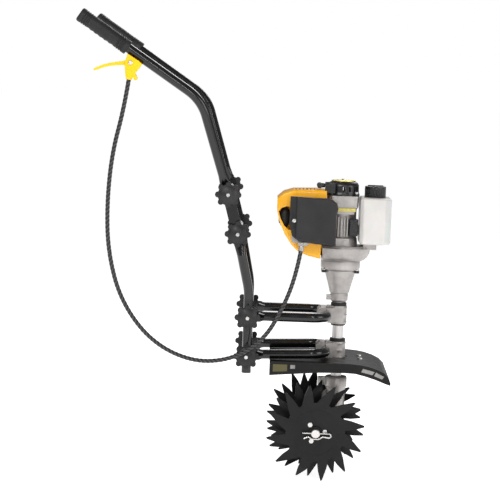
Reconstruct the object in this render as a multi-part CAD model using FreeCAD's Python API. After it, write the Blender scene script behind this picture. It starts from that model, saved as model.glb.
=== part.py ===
import FreeCAD, Part
import math
import os

# Mini cultivator. Millimetres. Origin: centre of the tine axle, on the mid-plane.
# +X is forward, +Z is up along the drive tube, -Y is the machine's right-hand side.

# Drive line
TUBE_X = 46.7            # drive tube axis, ahead of the tine axle
TUBE_R = 13.0            # 26 mm drive tube
TUBE_WALL = 2.0
TUBE_LOW = 98.0
TUBE_TOP = 330.0
SHAFT_R = 4.0
RUN = 0.06               # radial running clearance

# Tines
TIP_R = 115.0
ROOT_R = 69.0
TEETH = 12
DISC_T = 4.0
DISC_OUT_Y = 114.0
DISC_IN_Y = 58.0
AXLE_R = 10.0
AXLE_HALF = 136.0
HUB_R = 14.0

# Frame tubes
BAR_R = 11.0             # 22 mm tubes
BAR_WALL = 1.5
BRACKET_X = 18.0         # cross run of both U-brackets
BRACKET_Y = 91.0
UPPER_Z = 263.6
LOWER_Z = 180.5
LOWER_TILT = 2.2         # degrees, lower bracket falls to the rear
KNOB_X = -166.5
BAR_Y = 107.0
STACK_Y = 144.0          # middle plane of the flattened ends at the links
PIVOT_LOW = (-195.0, 457.5)
PIVOT_HIGH = (-219.8, 546.5)
BOLT_R = 4.0
LOBES = 8

# Handles
HANDLE_BEND = (-286.2, 188.0, 759.0)
HANDLE_END = (-558.0, 219.0, 939.0)
GRIP_R = 16.5
GRIP_L = 126.0

# Engine heights on the crank axis
CONE_LOW = 293.0
FAN_Z = 392.0
DECK_Z = 421.0
STARTER_Z = 545.0
ROOF_Z = 577.0
TANK_LOW = 434.0
TANK_TOP = 542.5

# Throttle cable
CABLE_R = 5.0
CABLE = [
    (-449.0, -214.0, 800.0),
    (-458.0, -212.0, 735.0),
    (-482.0, -208.0, 635.0),
    (-491.0, -201.0, 520.0),
    (-486.0, -194.0, 410.0),
    (-455.0, -187.0, 300.0),
    (-385.0, -179.0, 208.0),
    (-290.0, -172.0, 163.0),
    (-200.0, -166.0, 170.0),
    (-128.0, -146.0, 214.0),
    (-84.0, -112.0, 290.0),
    (-58.0, -88.0, 362.0),
    (-49.0, -76.0, 416.0),
]

V = FreeCAD.Vector
X_AXIS = V(1, 0, 0)
Y_AXIS = V(0, 1, 0)
Z_AXIS = V(0, 0, 1)
ORIGIN = V(0, 0, 0)


def save(name, shape):
    shape.exportStep("parts/" + name + ".step")
    print(name, len(shape.Solids), round(shape.Volume / 1000.0, 1), shape.isValid())


def box(x0, x1, y0, y1, z0, z1):
    return Part.makeBox(x1 - x0, y1 - y0, z1 - z0, V(x0, y0, z0))


def rod(r, start, end):
    a = V(*start)
    b = V(*end)
    return Part.makeCylinder(r, (b - a).Length, a, b - a)


def ring(r_in, r_out, start, end):
    a = V(*start)
    b = V(*end)
    length = (b - a).Length
    return Part.makeCylinder(r_out, length, a, b - a).cut(Part.makeCylinder(r_in, length, a, b - a))


def mirror(shape):
    return shape.mirror(ORIGIN, Y_AXIS)


def fuse(shapes):
    out = shapes[0]
    if len(shapes) > 1:
        out = out.multiFuse(shapes[1:])
    return out.removeSplitter()


def lathe(profile, x=TUBE_X, y=0.0):
    """Solid of revolution about a vertical axis from (radius, height) points."""
    pts = [V(x + r, y, z) for r, z in profile]
    face = Part.Face(Part.makePolygon(pts + [pts[0]]))
    return face.revolve(V(x, y, 0), Z_AXIS, 360)


def prism_y(points, y0, y1):
    """Outline in the XZ plane, extruded along Y."""
    pts = [V(x, y0, z) for x, z in points]
    return Part.Face(Part.makePolygon(pts + [pts[0]])).extrude(V(0, y1 - y0, 0))


def rounded_box(x0, x1, y0, y1, z0, z1, r):
    body = box(x0, x1, y0, y1, z0, z1)
    return body.makeFillet(r, body.Edges)


def hexagon(across, start, end):
    """Hexagonal prism between two points."""
    a = V(*start)
    b = V(*end)
    along = (b - a).normalize()
    side = along.cross(Z_AXIS) if abs(along.z) < 0.9 else along.cross(X_AXIS)
    side.normalize()
    up = along.cross(side)
    r = across / math.sqrt(3.0)
    pts = []
    for k in range(6):
        t = math.radians(60 * k)
        pts.append(a + side * (r * math.cos(t)) + up * (r * math.sin(t)))
    return Part.Face(Part.makePolygon(pts + [pts[0]])).extrude(b - a)


def unit(a, b):
    return (V(*b) - V(*a)).normalize()


def along(a, b, distance):
    p = V(*a) + unit(a, b) * distance
    return (p.x, p.y, p.z)


def corner_radii(points):
    """Bend radius at each inner point: 0.45 of the shorter run over tan(half turn)."""
    radii = []
    for i in range(1, len(points) - 1):
        a = V(*points[i]) - V(*points[i - 1])
        b = V(*points[i + 1]) - V(*points[i])
        turn = a.getAngle(b)
        radii.append(0.45 * min(a.Length, b.Length) / math.tan(turn / 2))
    return radii


def path_wire(points, radii):
    """Straight runs joined by tangent arcs."""
    edges = []
    last = V(*points[0])
    for i in range(1, len(points) - 1):
        p = V(*points[i])
        a = unit(points[i], points[i - 1])
        b = unit(points[i], points[i + 1])
        half = (math.pi - a.getAngle(b)) / 2
        cut = radii[i - 1] * math.tan(half)
        t0 = p + a * cut
        t1 = p + b * cut
        middle = (a + b).normalize()
        centre = p + middle * (radii[i - 1] / math.cos(half))
        mid = centre - middle * radii[i - 1]
        edges.append(Part.LineSegment(last, t0).toShape())
        edges.append(Part.Arc(t0, mid, t1).toShape())
        last = t1
    edges.append(Part.LineSegment(last, V(*points[-1])).toShape())
    return Part.Wire(edges)


def sweep(points, radii, r):
    wire = path_wire(points, radii)
    start = V(*points[0])
    circle = Part.Wire([Part.Circle(start, unit(points[0], points[1]), r).toShape()])
    return wire.makePipeShell([circle], True, False)


def hollow_sweep(points, radii, r, wall):
    return sweep(points, radii, r).cut(sweep(points, radii, r - wall))


def slab(x0, z0, x1, z1, half, y0, y1):
    """Flat bar with round ends in the XZ plane between two centres."""
    length = math.hypot(x1 - x0, z1 - z0)
    ux = (x1 - x0) / length
    uz = (z1 - z0) / length
    nx = -uz * half
    nz = ux * half
    body = prism_y([(x0 + nx, z0 + nz), (x1 + nx, z1 + nz), (x1 - nx, z1 - nz), (x0 - nx, z0 - nz)], y0, y1)
    ends = [rod(half, (x0, y0, z0), (x0, y1, z0)), rod(half, (x1, y0, z1), (x1, y1, z1))]
    return fuse([body] + ends)


def flatten(round_at, round_dir, flat_at, flat_dir, wide, thick, r):
    """Loft from a round tube to a flat oval; the oval's long axis lies in the XZ plane."""
    c0 = Part.Wire([Part.Circle(V(*round_at), round_dir, r).toShape()])
    across = Y_AXIS.cross(flat_dir).normalize()
    ellipse = Part.Ellipse()
    ellipse.MajorRadius = wide
    ellipse.MinorRadius = thick
    placed = ellipse.toShape()
    rot = FreeCAD.Rotation(across, Y_AXIS, flat_dir, "XYZ")
    placed.Placement = FreeCAD.Placement(V(*flat_at), rot)
    return Part.makeLoft([c0, Part.Wire([placed])], True)


# ---------------------------------------------------------------- drive line

def drive_tube():
    save("drive_tube", ring(TUBE_R - TUBE_WALL, TUBE_R, (TUBE_X, 0, TUBE_LOW), (TUBE_X, 0, TUBE_TOP)))


def drive_shaft():
    body = rod(SHAFT_R, (TUBE_X, 0, 84), (TUBE_X, 0, 375))
    square = box(TUBE_X - 2.5, TUBE_X + 2.5, -2.5, 2.5, 74, 84)
    bushes = [rod(8.0, (TUBE_X, 0, z), (TUBE_X, 0, z + 14)) for z in (140, 300)]
    save("drive_shaft", fuse([body, square] + bushes))


def clutch_drum():
    cup = lathe([(0, 374), (38, 374), (38, 391), (35.5, 391), (35.5, 377), (0, 377)])
    hub = lathe([(SHAFT_R, 352), (9, 352), (9, 374), (SHAFT_R, 374)])
    holes = []
    for k in range(6):
        t = math.radians(60 * k)
        x = TUBE_X + 24 * math.cos(t)
        y = 24 * math.sin(t)
        holes.append(rod(4.5, (x, y, 373), (x, y, 378)))
    cup = cup.cut(rod(SHAFT_R, (TUBE_X, 0, 360), (TUBE_X, 0, 375)))
    save("clutch_drum", fuse([cup, hub]).cut(Part.makeCompound(holes)))


def worm():
    core = rod(6.0, (TUBE_X, 0, -22), (TUBE_X, 0, 84))
    socket = box(TUBE_X - 2.5, TUBE_X + 2.5, -2.5, 2.5, 74, 84)
    ridges = []
    for k in range(7):
        z = -22.8 + 7.6 * k
        ridges.append(lathe([(5.5, z - 3.0), (7.6, z - 1.2), (7.6, z + 1.2), (5.5, z + 3.0)]))
    save("worm", fuse([core] + ridges[2:]).cut(socket))


def worm_wheel():
    root = 34.4
    tip = 38.5
    pts = []
    for k in range(32):
        for off, r in ((-3.4, root), (-1.7, tip), (1.7, tip), (3.4, root)):
            t = math.radians(360.0 / 32 * k + off)
            pts.append((r * math.cos(t), r * math.sin(t)))
    wheel = prism_y(pts, -7, 7)
    waist = ring(16, 29, (0, -7, 0), (0, -3.5, 0))
    waist2 = mirror(waist)
    hub = rod(15, (0, -13, 0), (0, 13, 0))
    bore = rod(AXLE_R, (0, -14, 0), (0, 14, 0))
    save("worm_wheel", fuse([wheel.cut(waist).cut(waist2), hub]).cut(bore))


def gearbox_housing():
    case = rod(46, (0, -20, 0), (0, 20, 0))
    boss = rod(21, (0, -36, 0), (0, -19, 0))
    barrel = rod(19, (TUBE_X, 0, -34), (TUBE_X, 0, 92))
    foot = Part.makeCone(14, 19, 6, V(TUBE_X, 0, -40), Z_AXIS)
    bridge = box(0, TUBE_X, -15, 15, -34, 44)
    neck = lathe([(0, 78), (19, 78), (25, 92), (26, 93), (26, 112), (24.5, 116), (0, 116)])
    ear = fuse([box(TUBE_X - 34, TUBE_X - 20, -9, 9, 95, 113), rod(9, (TUBE_X - 34, 0, 95),
            (TUBE_X - 34, 0, 113))])
    web = prism_y([(-30, 30), (30, 30), (30, 88), (10, 70)], -4, 4)
    ribs = [box(TUBE_X - 3, TUBE_X + 22, -2, 2, -20, 90), box(TUBE_X - 2, TUBE_X + 2, -22, 22, -20, 86)]
    body = fuse([case, boss, barrel, foot, bridge, neck, ear, web] + ribs)
    cavity = rod(40.5, (0, -14, 0), (0, 20, 0))
    axle_way = rod(16, (0, -34, 0), (0, 0, 0))
    lip = rod(11.5, (0, -37, 0), (0, -30, 0))
    worm_way = rod(12, (TUBE_X, 0, -16), (TUBE_X, 0, 70))
    low_seat = rod(11, (TUBE_X, 0, -26), (TUBE_X, 0, -10))
    high_seat = rod(13, (TUBE_X, 0, 70), (TUBE_X, 0, 84))
    shaft_way = rod(9, (TUBE_X, 0, 84), (TUBE_X, 0, TUBE_LOW))
    socket = rod(TUBE_R, (TUBE_X, 0, TUBE_LOW), (TUBE_X, 0, 118))
    slit = box(TUBE_X - 45, TUBE_X - 8, -1.2, 1.2, 99, 117)
    cuts = [cavity, axle_way, lip, worm_way, low_seat, high_seat, shaft_way, socket, slit]
    body = body.cut(Part.makeCompound(cuts))
    body = body.cut(rod(46.4, (0, 20, 0), (0, 30, 0)))
    body = body.cut(rod(7.3, (TUBE_X + 8, -17, 66), (TUBE_X + 8, -30, 66)))
    for x, z in cover_spots():
        body = body.cut(rod(1.5, (x, 10, z), (x, 20, z)))
    save("gearbox_housing", body)


def cover_spots():
    r = 43.2
    return [(r * math.cos(math.radians(a)), r * math.sin(math.radians(a))) for a in (60, 120, 180, 240,
            300)]


def gearbox_cover():
    plate = rod(46, (0, 20, 0), (0, 25, 0))
    rim = ring(40, 46, (0, 25, 0), (0, 27, 0))
    boss = rod(21, (0, 24, 0), (0, 36, 0))
    ribs = []
    for k in range(6):
        rib = box(18, 40.2, -1.5, 1.5, 24, 28)
        rib.rotate(ORIGIN, X_AXIS, -90)
        rib.rotate(ORIGIN, Y_AXIS, 60 * k)
        ribs.append(rib.common(box(-60, 60, 24, 40, -60, 60)))
    body = fuse([plate, rim, boss] + [r for r in ribs if r.Volume > 1])
    body = body.cut(rod(16, (0, 19, 0), (0, 34, 0))).cut(rod(11.5, (0, 30, 0), (0, 40, 0)))
    for x, z in cover_spots():
        body = body.cut(rod(1.5, (x, 19, z), (x, 28, z)))
    save("gearbox_cover", body)


def bearings():
    out = []
    for y in (-34, 22):
        out.append(ring(AXLE_R + RUN, 16, (0, y, 0), (0, y + 12, 0)))
    out.append(ring(6.0 + RUN, 11, (TUBE_X, 0, -26), (TUBE_X, 0, -17)))
    out.append(ring(6.0 + RUN, 13, (TUBE_X, 0, 71), (TUBE_X, 0, 82)))
    out.append(ring(9.0 + RUN, 15, (TUBE_X, 0, 354), (TUBE_X, 0, 366)))
    for z in (140, 300):
        out.append(ring(8.0 + RUN, TUBE_R - TUBE_WALL, (TUBE_X, 0, z), (TUBE_X, 0, z + 14)))
    save("bearings", Part.makeCompound(out))


# --------------------------------------------------------------------- tines

def tine_axle():
    body = rod(AXLE_R, (0, -AXLE_HALF, 0), (0, AXLE_HALF, 0))
    body = body.makeChamfer(1.0, [e for e in body.Edges if e.Closed])
    for y in (-129, 129):
        body = body.cut(rod(1.6, (-12, y, 0), (12, y, 0)))
    save("tine_axle", body)


def tine_disc(y, phase, bends):
    """Flat twelve-toothed disc; a few tooth ends are set sideways."""
    shape = rod(ROOT_R, (0, y - DISC_T / 2, 0), (0, y + DISC_T / 2, 0))
    parts = [shape]
    fold = 88.0
    for k in range(TEETH):
        a = math.radians(phase + 30 * k)
        pts = []
        for off, r in ((-4, ROOT_R), (-3.2, TIP_R * 0.8), (-1.0, TIP_R), (0.9, TIP_R - 1.5), (10, 88.0),
                (20, ROOT_R)):
            t = a + math.radians(off)
            pts.append((r * math.cos(t), r * math.sin(t)))
        pts.append((45 * math.cos(a + 0.2), 45 * math.sin(a + 0.2)))
        tooth = prism_y(pts, y - DISC_T / 2, y + DISC_T / 2)
        if k in bends:
            middle = a + math.radians(4)
            half = Part.makeBox(200, 40, 200, V(fold, y - 20, -100))
            half.rotate(ORIGIN, Y_AXIS, -math.degrees(middle))
            end = tooth.common(half)
            tooth = tooth.cut(half)
            pivot = V(fold * math.cos(middle), y, fold * math.sin(middle))
            tangent = V(-math.sin(middle), 0, math.cos(middle))
            end.rotate(pivot, tangent, bends[k])
            hinge = Part.makeCylinder(DISC_T / 2, 60, pivot - tangent * 30,
                    tangent).common(tooth_slab(pts, y))
            parts += [end, hinge]
        parts.append(tooth)
    body = fuse(parts)
    groove = ring(52.0, 54.0, (0, y - DISC_T / 2, 0), (0, y - DISC_T / 2 + 0.6, 0))
    groove2 = ring(52.0, 54.0, (0, y + DISC_T / 2 - 0.6, 0), (0, y + DISC_T / 2, 0))
    bore = rod(AXLE_R, (0, y - 10, 0), (0, y + 10, 0))
    return body.cut(groove).cut(groove2).cut(bore)


def tooth_slab(pts, y):
    return prism_y(pts, y - 4, y + 4)


def hub_bolt_spots():
    return [(22.0 * math.cos(math.radians(a)), 22.0 * math.sin(math.radians(a))) for a in (6, 126, 246)]


def rotor(side):
    """Hub tube with its end flange and the welded inner disc."""
    tube = ring(AXLE_R, HUB_R, (0, -124, 0), (0, -40, 0))
    flange = ring(AXLE_R, 30, (0, -112, 0), (0, -108, 0))
    collar = ring(AXLE_R, 17, (0, -66, 0), (0, -50, 0))
    inner = tine_disc(-DISC_IN_Y, 24 if side < 0 else 14, {2: 22, 7: -22})
    body = fuse([tube, flange, collar, inner])
    for x, z in hub_bolt_spots():
        body = body.cut(rod(3.0, (x, -116, z), (x, -100, z)))
    return body


def outer_disc(phase, bends):
    disc = tine_disc(-DISC_OUT_Y, phase, bends)
    disc = disc.cut(rod(HUB_R, (0, -120, 0), (0, -100, 0)))
    for x, z in hub_bolt_spots():
        disc = disc.cut(rod(3.0, (x, -120, z), (x, -100, z)))
    return disc


def hub_bolts():
    out = []
    for x, z in hub_bolt_spots():
        head = hexagon(10, (x, -116, z), (x, -120, z))
        nut = hexagon(10, (x, -108, z), (x, -103, z))
        out.append(fuse([head, nut, rod(3.0, (x, -118, z), (x, -102, z))]))
    return out


def hitch_pin():
    """Spring clip through the axle end; its bowed arm grips the outside of the axle."""
    y = -129.0
    wire = 1.6
    leg = rod(wire, (-30, y, 0), (31, y, 0))
    arm_pts = [(31, y, -9.5), (16, y, -7.5), (8, y, -13.5), (-8, y, -13.5), (-16, y, -8), (-27, y, -13)]
    arm = sweep(arm_pts, [10, 6, 9, 6], wire)
    bow = Part.makeTorus(4.75, wire, V(31, y, -4.75), Y_AXIS).common(box(31, 60, y - 9, y + 9, -20, 20))
    return fuse([leg, arm, bow])


def tines():
    save("tine_rotor_right", rotor(-1))
    save("tine_rotor_left", mirror(rotor(1)))
    save("tine_disc_right", outer_disc(9, {8: 28, 3: -24}))
    save("tine_disc_left", mirror(outer_disc(-1, {1: 24, 6: -24})))
    clips = [hitch_pin(), mirror(hitch_pin())]
    bolts = hub_bolts() + [mirror(b) for b in hub_bolts()]
    save("hitch_pins", Part.makeCompound(clips))
    save("hub_bolts", Part.makeCompound(bolts))


# -------------------------------------------------------------- tube clamps

def clamp_body(z, low, high):
    """Barrel round the drive tube with a half saddle for the cross tube behind it."""
    barrel = rod(19.5, (TUBE_X, 0, low), (TUBE_X, 0, high))
    block = box(BRACKET_X + 0.6, TUBE_X, -33, 33, z - 17, z + 17)
    nose = prism_y([(BRACKET_X + 0.6, z - 19), (TUBE_X - 8, low), (TUBE_X - 8, high), (BRACKET_X + 0.6,
            z + 20)], -15, 15)
    taper = box(TUBE_X - 12, TUBE_X + 30, -60, -19.5, low - 5, high + 5)
    body = fuse([barrel, block, nose]).cut(taper).cut(mirror(taper))
    bands = [ring(19, 20.3, (TUBE_X, 0, at - 0.8), (TUBE_X, 0, at + 0.8)) for at in (low + 4,
            (low + high) / 2, high - 4)]
    body = fuse([body] + bands)
    body = body.cut(rod(TUBE_R, (TUBE_X, 0, low - 1), (TUBE_X, 0, high + 1)))
    body = body.cut(rod(18.8, (TUBE_X, 0, high), (TUBE_X, 0, high + 9)))
    body = body.cut(rod(BAR_R, (BRACKET_X, -40, z), (BRACKET_X, 40, z)))
    for y, dz in clamp_spots():
        body = body.cut(rod(2.5, (0, y, z + dz), (BRACKET_X + 15, y, z + dz)))
    return body


def clamp_spots():
    return [(-26, -13.8), (-26, 13.8), (26, -13.8), (26, 13.8)]


def clamp_cap(z):
    x0 = BRACKET_X - 21.5
    outline = [(x0, z - 9), (x0 + 7, z - 17), (BRACKET_X - 0.6, z - 17), (BRACKET_X - 0.6, z + 17),
            (x0 + 7, z + 17)]
    outline.append((x0, z + 11))
    body = prism_y(outline, -33, 33)
    body = body.cut(rod(BAR_R, (BRACKET_X, -40, z), (BRACKET_X, 40, z)))
    for y, dz in clamp_spots():
        body = body.cut(rod(2.5, (-20, y, z + dz), (BRACKET_X + 15, y, z + dz)))
        body = body.cut(rod(5.5, (x0 - 12, y, z + dz), (x0 + 8.5, y, z + dz)))
    waist = box(x0 - 2, x0 + 9, -13, 13, z - 30, z - 8)
    return body.cut(waist).cut(box(x0 - 2, x0 + 9, -13, 13, z + 8, z + 30))


def clamp_bolts(z):
    out = []
    x0 = BRACKET_X - 13.0
    for y, dz in clamp_spots():
        head = hexagon(8, (x0 - 5, y, z + dz), (x0, y, z + dz))
        out.append(fuse([head, rod(2.5, (x0 - 1, y, z + dz), (BRACKET_X + 15, y, z + dz))]))
    return out


def clamps():
    save("upper_clamp", clamp_body(UPPER_Z, 241.5, 284))
    save("lower_clamp", clamp_body(LOWER_Z, 158.5, 199.5))
    save("clamp_caps", Part.makeCompound([clamp_cap(UPPER_Z), clamp_cap(LOWER_Z)]))
    rings = []
    for low, high, r in ((284, 291.5, 18.5), (237.5, 241.5, 17), (199.5, 207, 18.5), (154.5, 158.5, 17)):
        collar = lathe([(TUBE_R, low), (r - 1, low), (r, low + 1), (r, high - 1), (r - 1, high), (TUBE_R,
                high)])
        rings.append(collar)
    save("tube_rings", Part.makeCompound(rings))


# ------------------------------------------------------------- frame tubing

def u_bracket(z, tilt):
    """Tube bent to a U: cross run in the clamp, two legs to the rear with flattened ends."""
    rear = -128.0
    pts = [(rear, -BRACKET_Y, z), (BRACKET_X, -BRACKET_Y, z), (BRACKET_X, BRACKET_Y, z), (rear, BRACKET_Y,
            z)]
    tube = hollow_sweep(pts, [38, 38], BAR_R, BAR_WALL)
    ends = []
    for side in (-1, 1):
        y = side * BRACKET_Y
        neck = flatten((rear, y, z), V(-1, 0, 0), (rear - 18, y, z), V(-1, 0, 0), 13, 5, BAR_R)
        ends.append(neck)
        ends.append(slab(rear - 12, z, KNOB_X, z, 13, y - 5, y + 5))
    body = fuse([tube] + ends)
    body.rotate(V(BRACKET_X, 0, z), Y_AXIS, -tilt)
    for side in (-1, 1):
        zk = knob_height(z, tilt)
        body = body.cut(rod(BOLT_R, (KNOB_X, side * 70, zk), (KNOB_X, side * 110, zk)))
    return body


def knob_height(z, tilt):
    return z - (BRACKET_X - KNOB_X) * math.tan(math.radians(tilt))


UPPER_KNOB_Z = knob_height(UPPER_Z, 0.0)
LOWER_KNOB_Z = knob_height(LOWER_Z, LOWER_TILT)


def side_bar():
    """Right bar: upright, then leaning back and out to a flattened end."""
    x1, z1 = PIVOT_LOW
    start = (KNOB_X + 1, -BAR_Y, 133.0)
    bend = (KNOB_X + 1, -BAR_Y, 322.0)
    lean = unit((KNOB_X + 1, 0, 322.0), (x1, 0, z1))
    top = (x1 - lean.x * 46, -STACK_Y + 2, z1 - lean.z * 46)
    tube = hollow_sweep([start, bend, top], [90], BAR_R, BAR_WALL)
    flat_at = (x1 - lean.x * 19, -STACK_Y, z1 - lean.z * 19)
    neck = flatten(top, unit(bend, top), flat_at, lean, 13.2, 3.1, BAR_R)
    tab = slab(x1 - lean.x * 23, z1 - lean.z * 23, x1, z1, 13, -STACK_Y - 3, -STACK_Y + 3)
    body = fuse([tube, neck, tab]).cut(rod(BOLT_R, (x1, -160, z1), (x1, -130, z1)))
    for zk in (UPPER_KNOB_Z, LOWER_KNOB_Z):
        body = body.cut(rod(BOLT_R, (KNOB_X, -130, zk), (KNOB_X, -80, zk)))
    return body


def link():
    x0, z0 = PIVOT_LOW
    x1, z1 = PIVOT_HIGH
    y0 = -STACK_Y - 6
    y1 = -STACK_Y - 3
    plate = slab(x0, z0, x1, z1, 13, y0, y1)
    rib = slab(x0 + (x1 - x0) * 0.3, z0 + (z1 - z0) * 0.3, x0 + (x1 - x0) * 0.7, z0 + (z1 - z0) * 0.7, 4,
            y0 - 1.2, y1)
    plate = fuse([plate, rib])
    for x, z in (PIVOT_LOW, PIVOT_HIGH):
        plate = plate.cut(rod(BOLT_R + RUN, (x, -170, z), (x, -120, z)))
    return plate


def handle():
    """Right handle: flattened foot at the link, leaning up, then bent back to the grip."""
    x0, z0 = PIVOT_HIGH
    bx, by, bz = HANDLE_BEND
    ex, ey, ez = HANDLE_END
    lean = unit((x0, 0, z0), (bx, 0, bz))
    foot = (x0 + lean.x * 46, -STACK_Y - 2, z0 + lean.z * 46)
    tube = hollow_sweep([foot, (bx, -by, bz), (ex, -ey, ez)], [104], BAR_R, BAR_WALL)
    flat_at = (x0 + lean.x * 19, -STACK_Y, z0 + lean.z * 19)
    neck = flatten(foot, unit((bx, -by, bz), foot), flat_at, lean * -1, 13.2, 3.1, BAR_R)
    tab = slab(x0, z0, x0 + lean.x * 23, z0 + lean.z * 23, 13, -STACK_Y - 3, -STACK_Y + 3)
    return fuse([tube, neck, tab]).cut(rod(BOLT_R, (x0, -160, z0), (x0, -130, z0)))


def grip():
    """Rubber sleeve with a closed end, ring grooves at both ends and finger scallops below."""
    bend = (HANDLE_BEND[0], -HANDLE_BEND[1], HANDLE_BEND[2])
    end = (HANDLE_END[0], -HANDLE_END[1], HANDLE_END[2])
    front = along(end, bend, GRIP_L)
    cap = along(end, bend, -5)
    body = rod(GRIP_R, cap, front)
    body = body.makeFillet(2.5, [e for e in body.Edges if e.Closed])
    body = body.cut(rod(BAR_R, end, along(end, bend, GRIP_L + 5)))
    for d in (8, 14, 20, 106, 112, 118):
        a = along(end, bend, d)
        b = along(end, bend, d + 2.4)
        body = body.cut(ring(GRIP_R - 1.2, GRIP_R + 3, a, b))
    down = V(0, 0, -1)
    axis = unit(end, bend)
    across = axis.cross(down).normalize()
    under = across.cross(axis).normalize()
    if under.z > 0:
        under = under * -1
    for k in range(5):
        c = V(*along(end, bend, 33 + 16 * k)) + under * (GRIP_R + 9.0)
        body = body.cut(Part.makeCylinder(10.6, 40, c - across * 20, across))
    return body


def bolt_at(x, z):
    """Coach bolt through a flattened tube end, pointing outward."""
    head = rod(8, (x, -STACK_Y + 3, z), (x, -STACK_Y + 6.5, z))
    return fuse([head, rod(BOLT_R, (x, -STACK_Y + 4, z), (x, -173, z))])


def pivot_bolt():
    x, z = PIVOT_HIGH
    return bolt_at(x, z)


def knob(x, z, y):
    """Lobed star knob with a domed boss; y is its inner face, the dome points outward."""
    depth = 13.0
    base = rod(24.0, (x, y - depth, z), (x, y - 3, z))
    lobes = []
    for k in range(LOBES):
        t = math.radians(360.0 / LOBES * k)
        lx = x + 23.4 * math.cos(t)
        lz = z + 23.4 * math.sin(t)
        lobes.append(rod(6.6, (lx, y - depth, lz), (lx, y - 3, lz)))
    star = fuse([base] + lobes)
    star = star.makeChamfer(1.2, [e for e in star.Edges if abs(e.BoundBox.YLength) < 0.01])
    foot = rod(13, (x, y - 4, z), (x, y, z))
    dome = Part.makeSphere(35, V(x, y - depth + 28, z))
    dome = dome.common(box(x - 25, x + 25, y - depth - 8, y - depth + 0.5, z - 25, z + 25))
    body = fuse([star, foot, dome])
    return body.cut(rod(BOLT_R + RUN, (x, y + 5, z), (x, y - 40, z)))


def knob_places():
    high = -STACK_Y - 6 - 2
    low = -BAR_Y - BAR_R - 3
    return {
        "1": (PIVOT_HIGH[0], PIVOT_HIGH[1], high + 2),
        "2": (PIVOT_LOW[0], PIVOT_LOW[1], high + 2),
        "3": (KNOB_X, UPPER_KNOB_Z, low),
        "4": (KNOB_X, LOWER_KNOB_Z, low),
    }


def frame_tubes():
    save("upper_bracket", u_bracket(UPPER_Z, 0.0))
    save("lower_bracket", u_bracket(LOWER_Z, LOWER_TILT))
    for name, build in (("side_bar", side_bar), ("link", link), ("handle", handle), ("grip", grip),
                        ("pivot_bolt", pivot_bolt)):
        shape = build()
        save(name + "_right", shape)
        save(name + "_left", mirror(shape))
    for number, (x, z, y) in knob_places().items():
        shape = knob(x, z, y)
        save("knob_" + number + "_right", shape)
        save("knob_" + number + "_left", mirror(shape))


def frame_bolts():
    """Coach bolts and saddles for the right-hand side."""
    out = []
    for zk in (UPPER_KNOB_Z, LOWER_KNOB_Z):
        head = rod(9, (KNOB_X, -86, zk), (KNOB_X, -82, zk))
        out.append(fuse([head, rod(BOLT_R, (KNOB_X, -84, zk), (KNOB_X, -145, zk))]))
        saddle = box(KNOB_X - 10, KNOB_X + 12, -121, -110, zk - 11, zk + 11)
        saddle = saddle.cut(rod(BAR_R, (KNOB_X + 1, -BAR_Y, zk - 20), (KNOB_X + 1, -BAR_Y, zk + 20)))
        out.append(saddle.cut(rod(BOLT_R, (KNOB_X, -130, zk), (KNOB_X, -80, zk))))
    x, z = PIVOT_LOW
    out.append(bolt_at(x, z))
    return out


# --------------------------------------------------------------------- guard

GUARD_Y = 122.0
GUARD_TOP = [(-112, 163.5), (72, 163.5), (98, 161.5), (117, 158.3), (136, 152.5), (153, 144.5), (164,
        134), (168.5, 122)]
GUARD_LOW = [(168.5, 116), (157, 119.5), (133, 128.6), (109, 135.7), (86, 141), (59, 142), (0, 140.5),
        (-112, 131)]


def guard():
    """Moulded guard: flat roof curving down at the front, a skirt down each side."""
    shell = prism_y(GUARD_TOP + GUARD_LOW, -GUARD_Y, GUARD_Y)
    roof = [(-120, 160.5), (71.5, 160.5), (97, 158.5), (115.5, 155.3), (134, 149.7), (150.5, 142), (161.2,
            132)]
    roof += [(165.3, 121), (165.3, 80), (-120, 80)]
    shell = shell.cut(prism_y(roof, 3 - GUARD_Y, GUARD_Y - 3))
    ledges = []
    for side in (-1, 1):
        y0, y1 = sorted((side * (GUARD_Y - 4.5), side * (GUARD_Y - 3)))
        ledges.append(prism_y([(-112, 131), (0, 140.5), (59, 142), (86, 141), (86, 145), (0, 144.5),
                (-112, 135)], y0, y1))
    ribs = [box(-104, -24, y - 2, y + 2, 163, 164.5) for y in (-60, -30, 30, 60)]
    body = fuse([shell] + ledges + ribs)
    rear_panel = [(-107, 137.5), (0, 146), (56, 147.5), (56, 158.5), (-107, 158.5)]
    front_panel = [(80, 147), (110, 142), (134, 135), (154, 127), (160, 131), (150, 140.5), (133, 148),
            (115, 153.5), (80, 157)]
    for panel in (rear_panel, front_panel):
        body = body.cut(prism_y(panel, -GUARD_Y - 1, 0.8 - GUARD_Y))
        body = body.cut(prism_y(panel, GUARD_Y - 0.8, GUARD_Y + 1))
    body = body.cut(rod(24.5, (TUBE_X, 0, 150), (TUBE_X, 0, 180)))
    body = body.cut(box(12, TUBE_X, -18, 18, 150, 180))
    for x, y in guard_spots():
        top = 163.5 if x < 70 else 161.6
        body = body.cut(rod(2.5, (x, y, 150), (x, y, 180)))
        body = body.cut(rod(5.8, (x, y, top), (x, y, top + 4)))
    for y in (-26, 26):
        body = body.cut(box(-0.6, 5.6, y - 3.4, y + 3.4, 162.3, 165))
    return body


def guard_spots():
    return [(-20, -24), (-20, 24), (100, -24), (100, 24)]


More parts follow.
